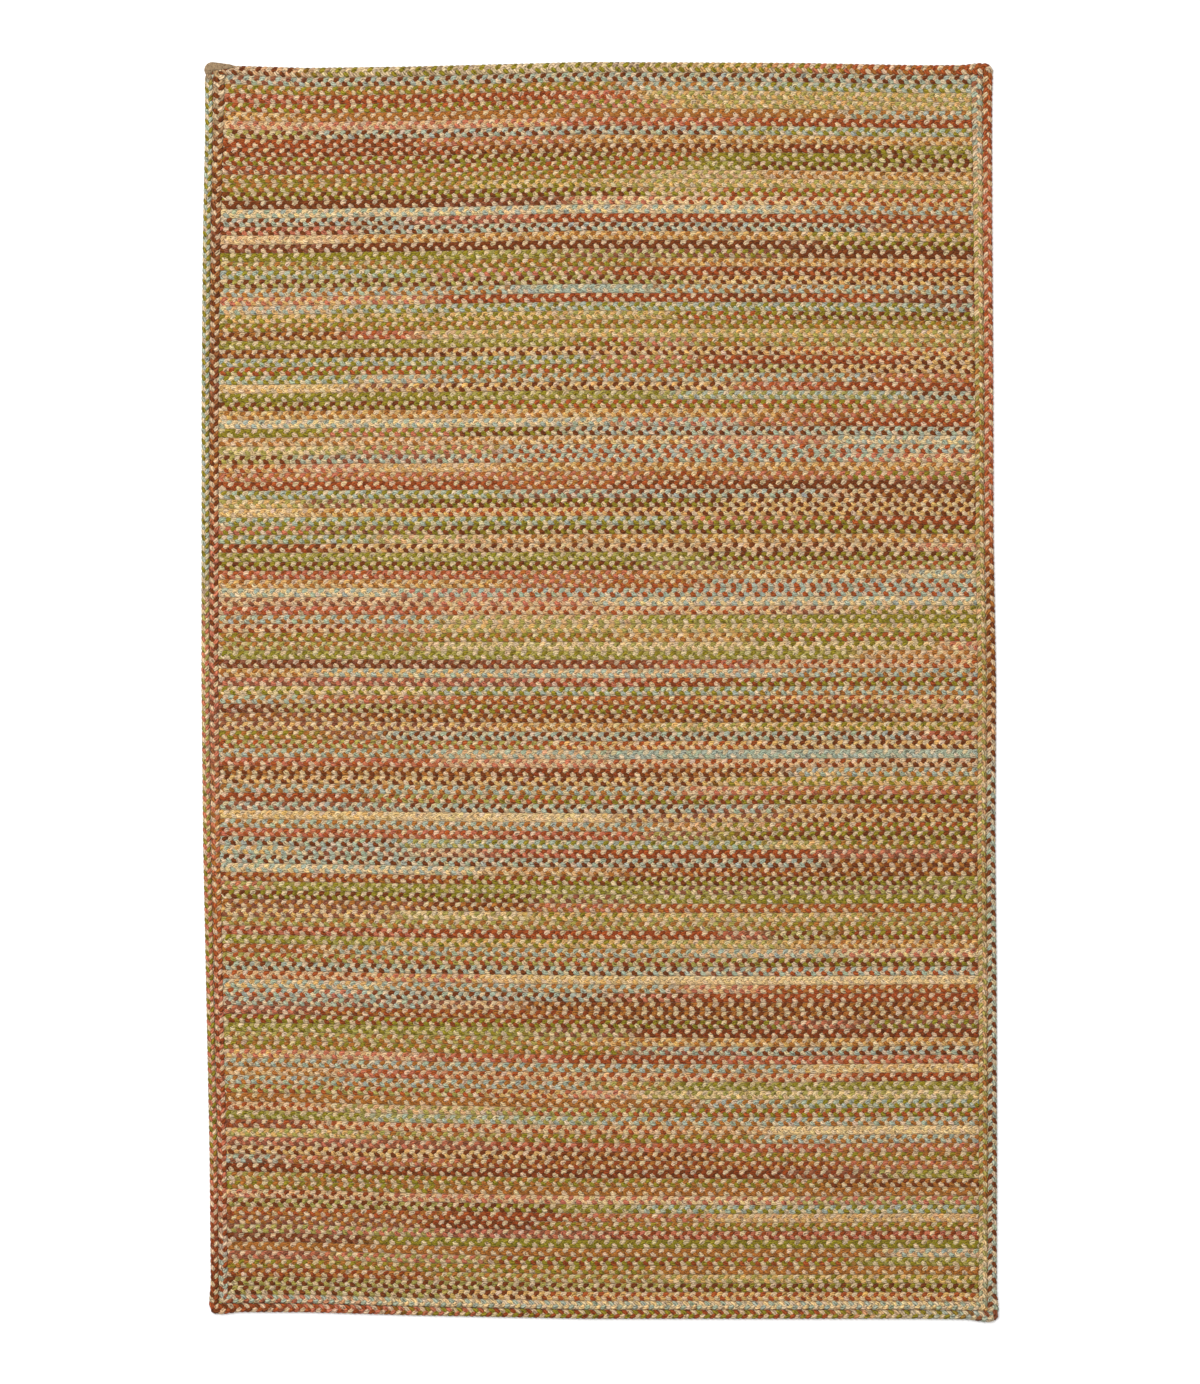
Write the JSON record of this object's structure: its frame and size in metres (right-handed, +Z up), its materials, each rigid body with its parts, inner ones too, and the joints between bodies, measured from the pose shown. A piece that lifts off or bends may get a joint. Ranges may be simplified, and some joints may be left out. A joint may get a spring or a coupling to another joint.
{
  "type": "braided rug",
  "caption": "Rectangular reversible floor rug of flat three-strand wool braids sewn side by side, with a braided spiral border and softly rounded corners.",
  "frame": {"origin": "on the floor, under the middle of the rug's bounding box", "axes": "+Z up off the floor, +Y towards the head edge, whose left corner carries the border braid's tapered end, +X to the right side"},
  "size_m": [1.5456, 2.4432, 0.0095],
  "materials": {
    "field_wool": "matte",
    "inner_right_wool": "matte",
    "inner_foot_wool": "matte",
    "inner_left_wool": "matte",
    "head_wool": "matte",
    "right_wool": "matte",
    "foot_wool": "matte",
    "left_wool": "matte"
  },
  "bodies": {
    "root": {"field_braids": "field_wool", "border_inner_right": "inner_right_wool", "border_inner_foot": "inner_foot_wool", "border_inner_left": "inner_left_wool", "border_head": "head_wool", "border_right": "right_wool", "border_foot": "foot_wool", "border_left": "left_wool"}
  },
  "joints": []
}
